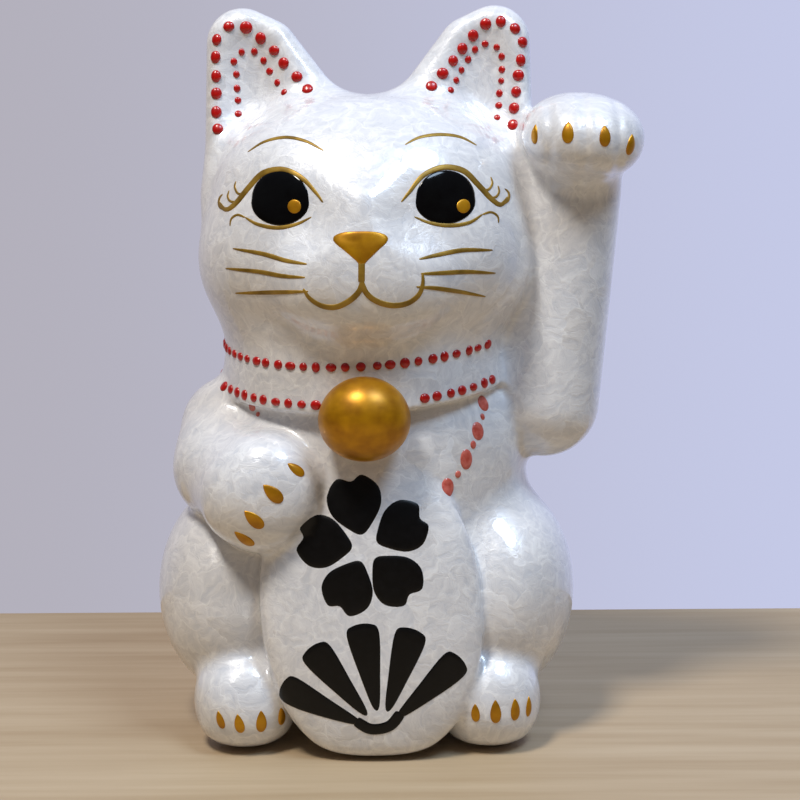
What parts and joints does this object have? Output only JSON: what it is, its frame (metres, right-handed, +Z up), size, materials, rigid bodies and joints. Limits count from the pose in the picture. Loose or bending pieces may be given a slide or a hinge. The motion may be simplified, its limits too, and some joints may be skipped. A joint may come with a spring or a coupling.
{
  "type": "ceramic cat figurine",
  "caption": "Seated white ceramic cat with one paw raised and the other holding an upright oval tablet, with a collar, a round bell, gold face lines and red enamel dots.",
  "frame": {"origin": "middle of the figurine's box across and front to back, on the plane that its foot ring, feet and tablet stand on", "axes": "+Z up, -Y the way the cat faces, +X the cat's own left, where its raised paw is"},
  "size_m": [0.143, 0.1014, 0.211],
  "materials": {
    "pearl_glaze": "white glaze with a pearl lustre, high gloss",
    "gold_lustre": "satin gold paint",
    "gold_line": "brushed gold line, satin",
    "red_enamel": "raised red enamel, glossy",
    "coral_enamel": "raised coral enamel, glossy and slightly clear",
    "black_enamel": "black enamel, glossy",
    "black_brush": "black brush paint, satin",
    "soft_stopper": "soft translucent plastic, matt"
  },
  "bodies": {
    "figurine": {"torso_cast": "pearl_glaze", "left_foot": "pearl_glaze", "right_foot": "pearl_glaze", "tail": "pearl_glaze", "head_cast": "pearl_glaze", "left_ear": "pearl_glaze", "right_ear": "pearl_glaze", "raised_arm_cast": "pearl_glaze", "lowered_arm_cast": "pearl_glaze", "tablet": "pearl_glaze", "collar_band": "pearl_glaze", "bell": "gold_lustre", "left_eye": "black_enamel", "right_eye": "black_enamel", "left_eye_glint": "gold_lustre", "right_eye_glint": "gold_lustre", "left_eye_liner": "gold_line", "right_eye_liner": "gold_line", "left_brow": "gold_line", "right_brow": "gold_line", "nose": "gold_lustre", "mouth_line": "gold_line", "left_whiskers": "gold_line", "right_whiskers": "gold_line", "raised_paw_claws": "gold_lustre", "lowered_paw_claws": "gold_lustre", "left_foot_claws": "gold_lustre", "right_foot_claws": "gold_lustre", "left_ear_outer_dots": "red_enamel", "left_ear_inner_dots": "red_enamel", "right_ear_outer_dots": "red_enamel", "right_ear_inner_dots": "red_enamel", "collar_upper_dots": "red_enamel", "collar_lower_dots": "red_enamel", "left_chest_beads": "coral_enamel", "right_chest_beads": "coral_enamel", "tablet_ornament": "black_brush"},
    "stopper": {"base_stopper": "soft_stopper"}
  },
  "joints": [
    {"name": "stopper_pull", "type": "slide", "parent": "figurine", "child": "stopper", "axis": [0, 0, -1], "range_m": [0, 0.012]}
  ]
}
